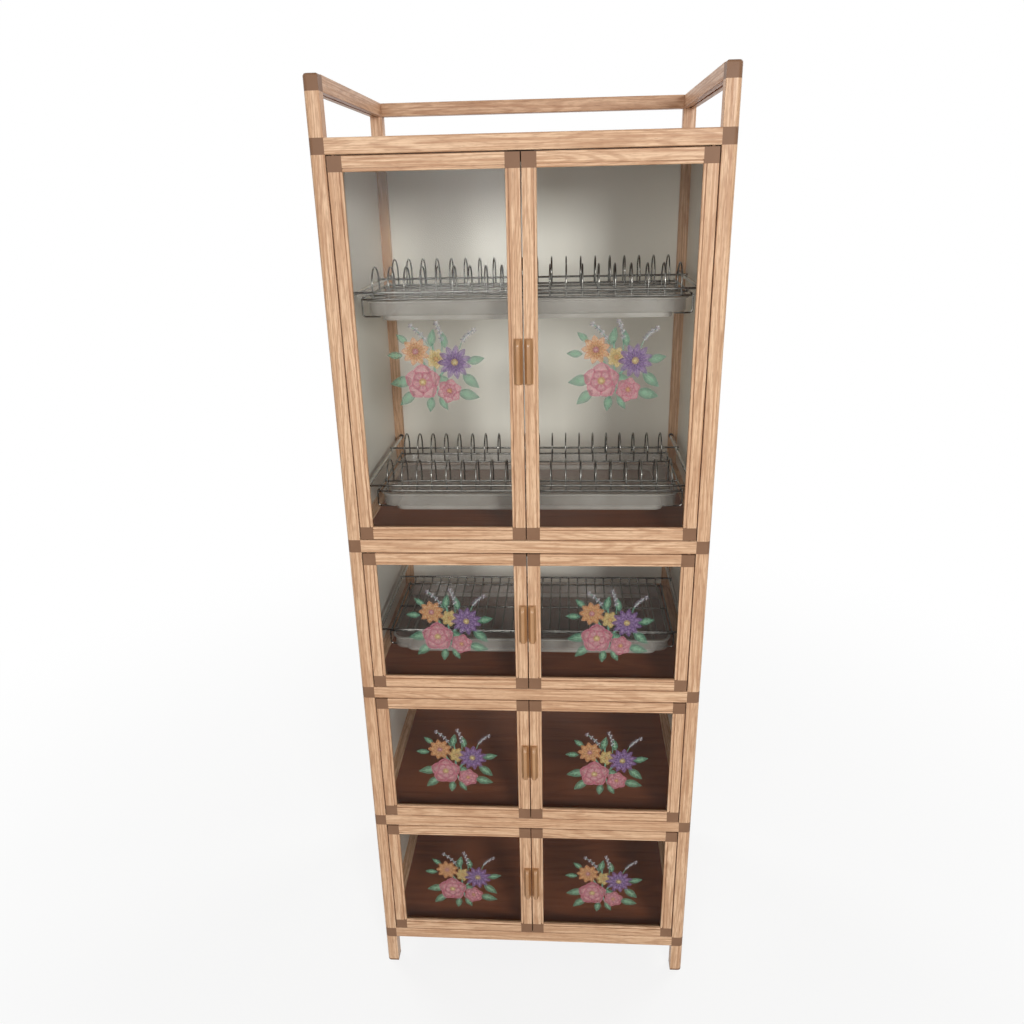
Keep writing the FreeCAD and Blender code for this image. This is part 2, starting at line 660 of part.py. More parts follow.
def left_door(clear):
    return {
        "frame": group(door_frame(clear)),
        "corners": group(door_corners(clear)),
        "glass": pane(clear, "0"),
        "pull": finger_pull(clear),
        "strike": strike(clear),
    }


low_door = left_door(LOW_CLEAR)
upper_door = left_door(UPPER_CLEAR)
for storey, floor, door in (("bottom", FLOORS[0], low_door), ("third", FLOORS[1], low_door),
                            ("second", FLOORS[2], low_door), ("upper", FLOORS[3], upper_door)):
    for piece, made in door.items():
        left = group([made], ["0", "0", floor])
        node(f"{storey}_left_door_{piece}", left)
        node(f"{storey}_right_door_{piece}", mirrored(left))

doc.recompute()

# Checks before anything is written
for thing in doc.Objects:
    if "Invalid" in thing.State or "Error" in thing.State:
        raise RuntimeError(f"{thing.Name} ({thing.Label}) failed: {thing.State}")
for name, thing in nodes.items():
    if thing.Shape.isNull() or not thing.Shape.isValid():
        raise RuntimeError(f"{name} has no valid shape")
    if not thing.Shape.Solids:
        raise RuntimeError(f"{name} has no solid")

os.makedirs("parts", exist_ok=True)
for name, thing in nodes.items():
    thing.Shape.exportStep(f"parts/{name}.step")
whole = FreeCAD.BoundBox()
for thing in nodes.values():
    whole.add(thing.Shape.BoundBox)
print(len(nodes), "nodes,", sum(len(thing.Shape.Solids) for thing in nodes.values()), "solids")
print("x", whole.XMin, whole.XMax, "y", whole.YMin, whole.YMax, "z", whole.ZMin, whole.ZMax)
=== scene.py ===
# %% [markdown]
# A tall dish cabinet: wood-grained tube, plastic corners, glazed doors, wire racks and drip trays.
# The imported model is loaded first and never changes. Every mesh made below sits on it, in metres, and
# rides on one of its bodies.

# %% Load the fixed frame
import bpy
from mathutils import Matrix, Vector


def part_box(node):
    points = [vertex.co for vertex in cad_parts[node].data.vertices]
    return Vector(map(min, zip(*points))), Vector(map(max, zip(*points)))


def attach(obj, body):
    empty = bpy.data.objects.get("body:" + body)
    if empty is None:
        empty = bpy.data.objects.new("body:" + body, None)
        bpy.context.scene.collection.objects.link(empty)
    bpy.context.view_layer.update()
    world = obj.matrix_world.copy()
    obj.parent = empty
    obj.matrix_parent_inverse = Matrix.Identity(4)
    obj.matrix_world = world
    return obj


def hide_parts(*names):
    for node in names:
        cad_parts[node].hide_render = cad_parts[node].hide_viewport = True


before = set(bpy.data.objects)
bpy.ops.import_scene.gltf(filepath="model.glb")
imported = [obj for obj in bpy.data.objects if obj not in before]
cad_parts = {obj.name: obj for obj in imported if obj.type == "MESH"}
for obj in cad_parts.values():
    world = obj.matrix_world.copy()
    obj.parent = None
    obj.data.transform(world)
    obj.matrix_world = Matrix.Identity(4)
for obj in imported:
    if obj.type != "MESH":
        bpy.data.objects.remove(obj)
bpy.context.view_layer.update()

import math

import bmesh
import bpy
from mathutils import Matrix, Vector

# %% [markdown]
# Sizes could be typed in again, but then they could drift from the model. So each place is read from
# the frame's own boxes, and only what the boxes can't tell, such as a gap, is a named size here.

# %% Read the sizes
MM = 0.001
DOOR_GAP = 2 * MM
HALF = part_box("front_posts")[1].x
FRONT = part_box("front_posts")[0].y
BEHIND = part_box("front_posts")[1].y
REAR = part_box("rear_posts")[0].y
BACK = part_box("rear_posts")[1].y
TUBE = BEHIND - FRONT
INNER = HALF - TUBE
STOREYS = ("bottom", "third", "second", "upper")
SIDES = {"left": -1, "right": 1}
DOOR_BOX = {storey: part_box(f"{storey}_right_door_frame") for storey in STOREYS}
DOORS = {}
for storey in STOREYS:
    for side_name, side in SIDES.items():
        DOORS[f"{storey}_{side_name}_door"] = (side, DOOR_BOX[storey][0].z, DOOR_BOX[storey][1].z)
FLOORS = [DOOR_BOX[storey][0].z - DOOR_GAP for storey in STOREYS]
RAILS = [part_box("front_rails")[0].z] + [DOOR_BOX[storey][1].z + DOOR_GAP for storey in STOREYS]
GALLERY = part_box("gallery_rails")[0].z
print("rail heights", [round(rail, 4) for rail in RAILS], "and", len(DOORS), "doors")

# %% [markdown]
# The photograph was taken by hand, a little right of the middle and from above, with a wide lens. Its
# place, turn and focal length were fitted to about fifty points of the cabinet. Three turns describe
# the camera: yaw to the left, pitch down and a slight roll. They give the three axes of its matrix.

# %% Set up the camera
IMAGE_SIDE = 1024
FOCAL_PIXELS = 833.5
SENSOR = 36.0
CAMERA_PLACE = Vector((70.3, -1655.7, 1648.9)) * MM
YAW, PITCH, ROLL = -0.0676, 0.364, -0.022

forward = Vector((math.sin(YAW) * math.cos(PITCH), math.cos(YAW) * math.cos(PITCH), -math.sin(PITCH)))
level = Vector((math.cos(YAW), -math.sin(YAW), 0))
upward = level.cross(forward)
right_axis = math.cos(ROLL) * level + math.sin(ROLL) * upward
up_axis = math.cos(ROLL) * upward - math.sin(ROLL) * level

camera_data = bpy.data.cameras.new("hand_held_camera")
camera_data.sensor_width = SENSOR
camera_data.lens = FOCAL_PIXELS / IMAGE_SIDE * SENSOR
camera = bpy.data.objects.new("hand_held_camera", camera_data)
turned = Matrix((right_axis, up_axis, -forward)).transposed().to_4x4()
camera.matrix_world = Matrix.Translation(CAMERA_PLACE) @ turned
bpy.context.scene.collection.objects.link(camera)
bpy.context.scene.camera = camera
print("lens", round(camera_data.lens, 2), "mm")

# %% [markdown]
# Shader maths soon turns into a web of Math nodes. A small class keeps it readable: it wraps one socket,
# and plus, minus and times on it add the node. Every other node comes from one method, which takes
# the node's type, its settings and the values or links of its sockets.


# %% Wrap a socket so that it can be used in sums
class Signal:
    """A socket of a material's node tree that takes part in Python expressions."""

    def __init__(self, tree, socket):
        self.tree = tree
        self.socket = socket

    def add(self, kind, settings=None, inputs=None, output=0):
        node = self.tree.nodes.new(kind)
        for name, value in (settings or {}).items():
            setattr(node, name, value)
        for key, value in (inputs or {}).items():
            if isinstance(value, Signal):
                self.tree.links.new(value.socket, node.inputs[key])
            else:
                node.inputs[key].default_value = value
        return Signal(self.tree, node.outputs[output] if node.outputs else None)

    def maths(self, operation, first, second=0.0):
        return self.add("ShaderNodeMath", {"operation": operation}, {0: first, 1: second})

    def __add__(self, other):
        return self.maths("ADD", self, other)

    def __sub__(self, other):
        return self.maths("SUBTRACT", self, other)

    def __rsub__(self, other):
        return self.maths("SUBTRACT", other, self)

    def __mul__(self, other):
        return self.maths("MULTIPLY", self, other)

    __radd__ = __add__
    __rmul__ = __mul__

    def wave(self):
        """A sine between 0 and 1."""
        return self.maths("SINE", self) * 0.5 + 0.5

    def step(self, low, high):
        """A soft step from 0 at the low value to 1 at the high one."""
        return self.add("ShaderNodeMapRange", {"interpolation_type": "SMOOTHSTEP"},
                        {"Value": self, "From Min": low, "From Max": high})

    def mix(self, first, second):
        """The first colour where this is 0 and the second where it is 1."""
        return self.add("ShaderNodeMix", {"data_type": "RGBA"}, {0: self, 6: first, 7: second}, 2)

    def stretched(self, scale):
        """These coordinates times a scale along each axis."""
        return self.add("ShaderNodeVectorMath", {"operation": "MULTIPLY"}, {0: self, 1: scale})

    def noise(self, scale, detail=2.0, rough=0.5):
        """Cloudy noise at these coordinates, with so many features per metre along each axis."""
        return self.add("ShaderNodeTexNoise", {}, {"Vector": self.stretched(scale), "Scale": 1.0,
                                                   "Detail": detail, "Roughness": rough})

    def bump(self, depth, strength=1.0):
        """A normal from this as a height, in metres."""
        return self.add("ShaderNodeBump", {}, {"Height": self, "Distance": depth, "Strength": strength})

    def principled(self, **inputs):
        """The usual surface, its sockets written with underscores for spaces."""
        named = {name.replace("_", " "): value for name, value in inputs.items()}
        return self.add("ShaderNodeBsdfPrincipled", {}, named)


# %% [markdown]
# Each finish is a material whose nodes are built from nothing. One helper opens it and hands over the
# object coordinates, another adds the output and closes it. Colours are written as they look on a screen,
# which is easy to compare with a photograph, and a third helper turns them into the linear light of the
# nodes.


# %% Open and close a finish
def start_finish(name):
    """A new material and its object coordinates, which are the frame's metres."""
    material = bpy.data.materials.new(name)
    material.use_nodes = True
    tree = material.node_tree
    tree.nodes.clear()
    return material, Signal(tree, tree.nodes.new("ShaderNodeTexCoord").outputs["Object"])


def close_finish(material, shader):
    shader.add("ShaderNodeOutputMaterial", {}, {"Surface": shader})
    print("finish", material.name, "with", len(material.node_tree.nodes), "nodes")
    return material


def tint(red, green, blue):
    """A colour as it looks on a screen, 0 to 255, turned into the linear values that nodes use."""
    def linear(part):
        part = part / 255
        return part / 12.92 if part <= 0.04045 else ((part + 0.055) / 1.055) ** 2.4
    return (linear(red), linear(green), linear(blue), 1.0)


def along(axis, lengthwise, across):
    """A scale with one value along a bar and another across it."""
    return tuple(lengthwise if name == axis else across for name in "xyz")


WHITE = (1.0, 1.0, 1.0, 1.0)
print("middle grey is", round(tint(128, 128, 128)[0], 3), "in linear light")

# %% [markdown]
# The tubes wear a printed oak film: pinkish tan, with fine streaks along the bar, darker arcs where a
# board would be cut through its rings, short flecks and pores. Streaks, flecks and pores are noise drawn
# out along the bar. The arcs are the contour lines of a slower noise. One finish is made for each
# direction of bar.

# %% Oak film
OAK_DEEP, OAK_PALE = tint(214, 175, 140), tint(225, 189, 154)
STREAK_BROWN, ARC_BROWN = tint(180, 135, 101), tint(166, 120, 87)
FLECK_BROWN, PORE_BROWN = tint(150, 106, 76), tint(130, 91, 64)


def oak_film(axis):
    material, place = start_finish(f"oak_film_along_{axis}")
    slow = place.noise(along(axis, 2.2, 26.0), 1.5)
    arcs = (slow * 80.0).wave().step(0.35, 1.0)
    streaks = place.noise(along(axis, 6.0, 430.0), 3.0, 0.6).step(0.40, 0.64)
    flecks = place.noise(along(axis, 45.0, 400.0), 2.0).step(0.50, 0.70)
    pores = place.noise(along(axis, 60.0, 1700.0), 1.0).step(0.58, 0.72)
    tone = place.noise(along(axis, 1.1, 9.0), 1.0).step(0.3, 0.7)
    colour = tone.mix(OAK_DEEP, OAK_PALE)
    colour = (streaks * 0.76).mix(colour, STREAK_BROWN)
    colour = (arcs * 0.42).mix(colour, ARC_BROWN)
    colour = (flecks * 0.34).mix(colour, FLECK_BROWN)
    colour = (pores * 0.50).mix(colour, PORE_BROWN)
    relief = (streaks * 0.5 + pores).bump(0.06 * MM, 0.6)
    shader = place.principled(Base_Color=colour, Roughness=streaks * 0.10 + 0.36, Normal=relief,
                              Specular_IOR_Level=0.25)
    return close_finish(material, shader)


OAK = {axis: oak_film(axis) for axis in "xyz"}

# %% [markdown]
# Corner pieces are moulded in matt brown plastic. A mould leaves a fine pebbled skin and a slightly
# uneven colour, so both the colour and the bump come from noise at two sizes.


# %% Moulded plastics
def moulded(name, main, worn, gloss, depth):
    """Plain moulded plastic: its colour, the colour of worn patches, its roughness, its pebbles' depth."""
    material, place = start_finish(name)
    patches = place.noise((24.0, 24.0, 24.0), 3.0).step(0.35, 0.75)
    pebbles = place.noise((1900.0, 1900.0, 1900.0), 1.0)
    shader = place.principled(Base_Color=(patches * 0.6).mix(main, worn), Roughness=patches * 0.08 + gloss,
                              Normal=pebbles.bump(depth, 0.5), Specular_IOR_Level=0.2)
    return close_finish(material, shader)


BROWN = moulded("brown_corner_plastic", tint(126, 93, 70), tint(138, 105, 81), 0.46, 0.08 * MM)
DARK = moulded("dark_cup_plastic", tint(52, 45, 40), tint(66, 58, 52), 0.42, 0.06 * MM)

# %% [markdown]
# The pulls are amber brown and a little glossy, with streaks along their length like drawn wood-tone
# plastic. The steel strike plates are plain strip with rolling marks.

# %% Amber pulls and plain steel
AMBER_MAIN, AMBER_STREAK, AMBER_PALE = tint(176, 130, 86), tint(138, 94, 56), tint(194, 150, 106)
STRIP_DULL, STRIP_BRIGHT = tint(178, 176, 172), tint(205, 204, 200)


def amber_plastic():
    material, place = start_finish("amber_pull_plastic")
    streaks = place.noise((700.0, 700.0, 16.0), 3.0).step(0.35, 0.72)
    patches = place.noise((30.0, 30.0, 18.0), 2.0).step(0.35, 0.7)
    colour = (streaks * 0.6).mix(AMBER_MAIN, AMBER_STREAK)
    colour = (patches * 0.35).mix(colour, AMBER_PALE)
    shader = place.principled(Base_Color=colour, Roughness=streaks * 0.10 + 0.26,
                              Normal=streaks.bump(0.05 * MM, 0.6), Coat_Weight=0.25, Coat_Roughness=0.15)
    return close_finish(material, shader)


def plain_steel():
    material, place = start_finish("plain_strip_steel")
    marks = place.noise((90.0, 400.0, 2600.0), 2.0).step(0.3, 0.75)
    shader = place.principled(Base_Color=marks.mix(STRIP_DULL, STRIP_BRIGHT), Metallic=1.0,
                              Roughness=marks * 0.14 + 0.24, Normal=marks.bump(0.03 * MM, 0.5))
    return close_finish(material, shader)


AMBER = amber_plastic()
STEEL = plain_steel()

# %% [markdown]
# The side and back panels are smooth off-white sheet with a soft sheen. Thin sheet is never quite flat, so
# a slow noise bends its reflections into the upright bands that such panels show. The shelf boards are
# dark red-brown laminate with a faint grain across the cabinet.

# %% Panels and boards
PANEL_DEEP, PANEL_PALE, PANEL_DUST = tint(233, 228, 216), tint(240, 236, 226), tint(170, 164, 150)
BOARD_RED, BOARD_GRAIN, BOARD_BAND = tint(146, 86, 55), tint(118, 66, 43), tint(96, 52, 36)


def pale_panel():
    material, place = start_finish("pale_gloss_panel")
    haze = place.noise((5.0, 5.0, 2.2), 2.0).step(0.3, 0.75)
    ripple = place.noise((7.0, 7.0, 1.2), 1.0)
    dust = place.noise((900.0, 900.0, 900.0), 1.0).step(0.62, 0.75)
    colour = haze.mix(PANEL_DEEP, PANEL_PALE)
    colour = (dust * 0.10).mix(colour, PANEL_DUST)
    shader = place.principled(Base_Color=colour, Roughness=haze * 0.10 + 0.34,
                              Normal=ripple.bump(3 * MM, 0.25), Specular_IOR_Level=0.3)
    return close_finish(material, shader)


def dark_laminate():
    material, place = start_finish("red_brown_laminate")
    grain = place.noise((5.0, 240.0, 240.0), 3.0, 0.6).step(0.35, 0.7)
    bands = (place.noise((2.0, 14.0, 14.0), 1.5) * 60.0).wave().step(0.4, 1.0)
    colour = (grain * 0.6).mix(BOARD_RED, BOARD_GRAIN)
    colour = (bands * 0.30).mix(colour, BOARD_BAND)
    shader = place.principled(Base_Color=colour, Roughness=grain * 0.10 + 0.30,
                              Normal=grain.bump(0.05 * MM, 0.5), Specular_IOR_Level=0.3)
    return close_finish(material, shader)


PANEL = pale_panel()
LAMINATE = dark_laminate()

# %% [markdown]
# Racks and bars are drawn steel: a full metal with a low roughness, a little uneven from the drawing. The
# wires' colour is darkened as painted shade, and the bars' colour is made paler as a painted highlight.
# The drip trays are milky plastic, see-through enough to show what lies behind them. Real milky plastic
# scatters light within, which renders slowly, so a share of each surface is left clear, and less of it on
# the lip and the well, where one looks through more plastic.

# %% Wire and milky plastic
MILK_DEEP, MILK_PALE = tint(194, 187, 178), tint(203, 197, 189)


def drawn_steel(name, dull, bright, gloss):
    """Drawn steel: its colour where it is dull and where it is bright, and its roughness."""
    material, place = start_finish(name)
    drawn = place.noise((160.0, 160.0, 160.0), 2.0).step(0.3, 0.75)
    shader = place.principled(Base_Color=drawn.mix(dull, bright), Metallic=1.0,
                              Roughness=drawn * 0.10 + gloss)
    return close_finish(material, shader)


def milky_plastic(name, cover):
    """Milky plastic that hides this share of what lies behind it."""
    material, place = start_finish(name)
    cloud = place.noise((26.0, 26.0, 26.0), 3.0).step(0.3, 0.75)
    scuff = place.noise((80.0, 700.0, 300.0), 2.0).step(0.55, 0.75)
    shader = place.principled(Base_Color=cloud.mix(MILK_DEEP, MILK_PALE),
                              Roughness=scuff * 0.14 + 0.16, Alpha=cloud * 0.06 + cover,
                              Normal=scuff.bump(0.04 * MM, 0.4))
    return close_finish(material, shader)


# Painted light: the wire steel is darkened as painted shade, and the bar steel is made paler as a painted
# highlight.
SHADE_DARKENED_WIRE = drawn_steel("shade_darkened_wire", tint(116, 113, 108), tint(142, 139, 134), 0.15)
HIGHLIGHT_PALE_BAR = drawn_steel("highlight_pale_bar", tint(186, 184, 179), tint(206, 204, 199), 0.18)
MILKY = milky_plastic("milky_tray_plastic", 0.30)
MILKY_EDGE = milky_plastic("milky_tray_edges", 0.50)

# %% [markdown]
# A pane lets light straight through and mirrors a little of it, more at a low angle. A full glass
# shader would make the inside noisy and dark, so a clear and a mirror shader are mixed. The share of the
# mirror grows with the fifth power of the angle, and fingerprints make it slightly uneven.

# %% Clear panes
MIRROR_AHEAD = 0.04
MIRROR_POWER = 5.0
PANE_TINT = (0.982, 0.988, 0.984, 1.0)


def clear_pane():
    material, place = start_finish("clear_pane")
    smears = place.noise((9.0, 9.0, 9.0), 4.0, 0.6).step(0.4, 0.8)
    facing = place.add("ShaderNodeLayerWeight", {}, {"Blend": 0.5}, "Facing")
    edge = facing.maths("POWER", facing, MIRROR_POWER) * (1 - MIRROR_AHEAD) + MIRROR_AHEAD
    through = place.add("ShaderNodeBsdfTransparent", {}, {"Color": PANE_TINT})
    mirror = place.add("ShaderNodeBsdfAnisotropic", {}, {"Color": WHITE, "Roughness": 0.04})
    share = edge * (smears * 0.06 + 0.16)
    return close_finish(material, place.add("ShaderNodeMixShader", {}, {0: share, 1: through, 2: mirror}))


PANE = clear_pane()

# %% [markdown]
# Nearly every piece of the cabinet starts from a flat outline with rounded corners. A bevel could round
# them later, but then all corners would share one radius, so each corner of an outline carries its own.

# %% Outlines
ARC_STEPS = 6


def rounded(corners):
    """The points of a polygon whose corners, each given as u, v and radius, are rounded by arcs."""
    points = []
    for index, (u, v, radius) in enumerate(corners):
        here = Vector((u, v))
        if radius == 0:
            points.append(here)
            continue
        before = (Vector(corners[index - 1][:2]) - here).normalized()
        after = (Vector(corners[(index + 1) % len(corners)][:2]) - here).normalized()
        half_turn = before.angle(after) / 2
        middle = here + (before + after).normalized() * (radius / math.sin(half_turn))
        start = here + before * (radius / math.tan(half_turn)) - middle
        end = here + after * (radius / math.tan(half_turn)) - middle
        sweep = start.angle_signed(end)
        for step in range(ARC_STEPS + 1):
            points.append(middle + Matrix.Rotation(-sweep * step / ARC_STEPS, 2) @ start)
    return points


def rectangle(u_low, u_high, v_low, v_high, radius):
    return rounded([(u_low, v_low, radius), (u_high, v_low, radius), (u_high, v_high, radius),
                    (u_low, v_high, radius)])


print("a rounded rectangle takes", len(rectangle(0.0, TUBE, 0.0, TUBE, TUBE / 4)), "points")

# %% [markdown]
# Most pieces are bars of one section, and the rest are sections that change along the way. So the main
# tool joins rings of points into a closed skin, and a bar is two rings of one outline. When a mesh is
# finished, edges that turn sharply are marked sharp, the rest shade smooth, and the piece is put on its
# body in the place of the plain CAD nodes.

# %% Skins, bars and pieces
SHARP_TURN = math.radians(32)
ORDER = {"x": (2, 0, 1), "y": (0, 2, 1), "z": (0, 1, 2)}


def skin(mesh, rings, paint=0):
    """Joins rings of points into a closed skin. Its faces are returned, those at the two ends first."""
    made = [[mesh.verts.new(point) for point in ring] for ring in rings]
    faces = [mesh.faces.new(made[0]), mesh.faces.new(made[-1])]
    for ring, following in zip(made, made[1:]):
        for index in range(len(ring)):
            after = (index + 1) % len(ring)
            faces.append(mesh.faces.new((ring[index], ring[after], following[after], following[index])))
    for face in faces:
        face.material_index = paint
    return faces


def draw_out(mesh, outline, axis, low, high, paint=0):
    """Draws an outline out along an axis into a closed bar and returns its faces."""
    rings = []
    for end in (low, high):
        rings.append([[(u, v, end)[place] for place in ORDER[axis]] for u, v in outline])
    return skin(mesh, rings, paint)


def soften(mesh, faces, width, segments=2):
    """Bevels the sharp edges of some faces."""
    edges = dict.fromkeys(edge for face in faces for edge in face.edges)
    sharp = [edge for edge in edges if edge.is_manifold and edge.calc_face_angle() > SHARP_TURN]
    bmesh.ops.bevel(mesh, geom=sharp, offset=width, segments=segments, profile=0.5, affect="EDGES",
                    clamp_overlap=True)


def make_piece(name, mesh, finishes, body, slot, *nodes):
    """Turns a mesh under construction into a piece that rides on a body and stands for CAD nodes."""
    bmesh.ops.recalc_face_normals(mesh, faces=mesh.faces)
    for face in mesh.faces:
        face.smooth = True
    for edge in mesh.edges:
        if edge.is_manifold and edge.calc_face_angle() > SHARP_TURN:
            edge.smooth = False
    data = bpy.data.meshes.new(name)
    mesh.to_mesh(data)
    mesh.free()
    for finish in finishes:
        data.materials.append(finish)
    piece = bpy.data.objects.new(name, data)
    bpy.context.scene.collection.objects.link(piece)
    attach(piece, body)
    if nodes:
        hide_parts(*nodes)
    print(name, len(data.polygons), "faces")


# %% [markdown]
# The posts are square tube whose outer corner is a wide round, and the connectors between their lengths
# share that round. They could be boxes with a bevel, but the one wide round needs its own outline.

# %% Posts
WIDE_ROUND = 8 * MM
SMALL_ROUND = 0.8 * MM
RAIL_ROUND = 1.8 * MM
LEG_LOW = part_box("front_posts")[0].z


def post_section(side, outer_y, inner_y, small, inset=0.0):
    """The section of a post on one side: a wide round on its outer corner, small ones elsewhere."""
    inwards = math.copysign(inset, inner_y - outer_y)
    outer_x, inner_x = side * (HALF - inset), side * (INNER + inset)
    outer_y, inner_y = outer_y + inwards, inner_y - inwards
    return rounded([(outer_x, outer_y, WIDE_ROUND - inset), (inner_x, outer_y, small),
                    (inner_x, inner_y, small), (outer_x, inner_y, small)])


def posts(name, node, outer_y, inner_y):
    mesh = bmesh.new()
    lengths = [(LEG_LOW, RAILS[0])] + list(zip(FLOORS, RAILS[1:])) + [(RAILS[4] + TUBE, GALLERY)]
    for side in SIDES.values():
        for low, high in lengths:
            draw_out(mesh, post_section(side, outer_y, inner_y, SMALL_ROUND), "z", low, high)
    make_piece(name, mesh, [OAK["z"]], "cabinet_frame", "oak_film", node)


posts("oak_front_posts", "front_posts", FRONT, BEHIND)
posts("oak_rear_posts", "rear_posts", BACK, REAR)

# %% [markdown]
# The rails are the same tube with small rounds, at five heights. Those at the front and the rear run from
# side to side and the others from front to back, and the grain turns with them.

# %% Rails
for name, low_y, high_y in (("front", FRONT, BEHIND), ("rear", REAR, BACK)):
    mesh = bmesh.new()
    for rail in RAILS:
        draw_out(mesh, rectangle(low_y, high_y, rail, rail + TUBE, RAIL_ROUND), "x", -INNER, INNER)
    make_piece(f"oak_{name}_rails", mesh, [OAK["x"]], "cabinet_frame", "oak_film", f"{name}_rails")

mesh = bmesh.new()
for side in SIDES.values():
    for rail in RAILS:
        section = rectangle(side * INNER, side * HALF, rail, rail + TUBE, RAIL_ROUND)
        draw_out(mesh, section, "y", BEHIND, REAR)
make_piece("oak_side_rails", mesh, [OAK["y"]], "cabinet_frame", "oak_film", "side_rails")

# %% [markdown]
# Round the top runs an open gallery. Its side rails have a rounder upper outer edge and an open groove
# below, and they run over the rear posts, where the rear rail fits between them.

# %% Gallery
TOP = GALLERY + TUBE
END_CAP = 3 * MM
GROOVE_HALF = 2 * MM
GROOVE_DEEP = 4 * MM
TOP_ROUND = 4 * MM
GROOVE = ((INNER + HALF) / 2 + GROOVE_HALF, (INNER + HALF) / 2 - GROOVE_HALF)
mesh = bmesh.new()
for side in SIDES.values():
    section = rounded([
        (side * INNER, GALLERY, SMALL_ROUND), (side * INNER, TOP, RAIL_ROUND),
        (side * HALF, TOP, TOP_ROUND), (side * HALF, GALLERY, SMALL_ROUND),
        (side * GROOVE[0], GALLERY, 0), (side * GROOVE[0], GALLERY + GROOVE_DEEP, 0),
        (side * GROOVE[1], GALLERY + GROOVE_DEEP, 0), (side * GROOVE[1], GALLERY, 0),
    ])
    draw_out(mesh, section, "y", BEHIND, BACK - END_CAP, 1)
draw_out(mesh, rectangle(REAR, BACK, GALLERY, TOP, RAIL_ROUND), "x", -INNER, INNER)
make_piece("oak_gallery", mesh, [OAK["x"], OAK["y"]], "cabinet_frame", "oak_film", "gallery_rails")

# %% [markdown]
# Wherever tubes meet sits a plastic connector. Each is the post's own section, as tall as a rail, with
# its edges softened. The two at the front of the gallery end the posts, so their tops are rounded over
# by rings that shrink as they rise.

# %% Connectors and end caps
EDGE = 0.9 * MM
CAP_STEPS = 5
mesh = bmesh.new()
for side in SIDES.values():
    for outer_y, inner_y in ((FRONT, BEHIND), (BACK, REAR)):
        section = post_section(side, outer_y, inner_y, 0.0)
        for rail in RAILS:
            soften(mesh, draw_out(mesh, section, "z", rail, rail + TUBE), EDGE)
    levels = [(0.0, GALLERY)]
    for step in range(CAP_STEPS + 1):
        turn = math.pi / 2 * step / CAP_STEPS
        levels.append((TOP_ROUND * (1 - math.cos(turn)), TOP - TOP_ROUND * (1 - math.sin(turn))))
    rings = []
    for inset, height in levels:
        rings.append([(u, v, height) for u, v in post_section(side, FRONT, BEHIND, 0.0, inset)])
    skin(mesh, rings)
    cap = rectangle(side * INNER, side * HALF, GALLERY, TOP, 0.0)
    soften(mesh, draw_out(mesh, cap, "y", BACK - END_CAP, BACK), EDGE)
make_piece("brown_connectors", mesh, [BROWN], "cabinet_frame", "brown_plastic", "frame_connectors")

# %% [markdown]
# Each door is four bars round a pane. The bar's face is flat for most of its width, then comes a thin
# groove and a low bead beside the glass. Behind the bead lies the slot that holds the pane, with a thin
# lip behind it, and the rear half of the bar is narrower. The outline is given once, from the outer edge
# inwards and from the face back, and used for all four bars.

# %% Door bars and corners
DOOR_BAR = 24 * MM
DOOR_DEEP = DOOR_BOX["upper"][1].y - DOOR_BOX["upper"][0].y
DOOR_INNER = DOOR_BOX["upper"][0].x
DOOR_OUTER = DOOR_BOX["upper"][1].x
BAR_OUTLINE = [
    # inwards, back and radius of the corner in mm
    (0, 0, 1.2), (18.2, 0, 0.5), (18.2, 3, 0), (19.8, 3, 0), (19.8, 0.7, 0.5), (24, 0.7, 1.6),
    (24, 5.8, 0), (18.4, 5.8, 0), (18.4, 10.2, 0), (21.5, 10.2, 0), (21.5, 11.4, 0.5), (12, 11.4, 0),
    (12, 20, 0.8), (0, 20, 0.8),
]
PIN_RADIUS = 3 * MM
PIN_STEPS = 24
PIN_REACH = 3.5 * MM
HINGE_X = DOOR_OUTER - 10 * MM
HINGE_Y = FRONT + 5 * MM


def pointing(turn):
    """A step of length 1 in a plane, at this angle."""
    return Vector((math.cos(turn), math.sin(turn)))


def bar_section(edge, inwards, depth_first):
    """The bar's outline from an outer edge, in metres, as u and v in the order that its axis needs."""
    placed = []
    for across, back, radius in BAR_OUTLINE:
        u, v = edge + inwards * across * MM, FRONT + back * MM
        placed.append((v, u, radius * MM) if depth_first else (u, v, radius * MM))
    return rounded(placed)


def door_frame(body, side, low, high):
    mesh = bmesh.new()
    for edge, inwards in ((DOOR_OUTER, -1), (DOOR_INNER, 1)):
        section = bar_section(side * edge, side * inwards, False)
        draw_out(mesh, section, "z", low + DOOR_BAR, high - DOOR_BAR)
    ends = sorted((side * (DOOR_INNER + DOOR_BAR), side * (DOOR_OUTER - DOOR_BAR)))
    for edge, inwards in ((low, 1), (high, -1)):
        draw_out(mesh, bar_section(edge, inwards, True), "x", *ends, 1)
    make_piece(f"{body}_bars", mesh, [OAK["z"], OAK["x"]], body, "oak_film", f"{body}_frame")


def door_corners(body, side, low, high):
    mesh = bmesh.new()
    for outer_x in (DOOR_INNER, DOOR_OUTER - DOOR_BAR):
        x_low, x_high = sorted((side * outer_x, side * (outer_x + DOOR_BAR)))
        for bottom in (low, high - DOOR_BAR):
            block = rectangle(x_low, x_high, FRONT, FRONT + DOOR_DEEP, 0.0)
            soften(mesh, draw_out(mesh, block, "z", bottom, bottom + DOOR_BAR), EDGE)
    axis = Vector((side * HINGE_X, HINGE_Y))
    pin = [axis + PIN_RADIUS * pointing(math.tau * step / PIN_STEPS) for step in range(PIN_STEPS)]
    past = DOOR_GAP + PIN_REACH
    for start, end in ((low - past, low + EDGE), (high - EDGE, high + past)):
        draw_out(mesh, pin, "z", start, end)
    make_piece(f"{body}_corner_blocks", mesh, [BROWN], body, "brown_plastic", f"{body}_corners")


print("the outline of a door bar takes", len(bar_section(0.0, 1, False)), "points")

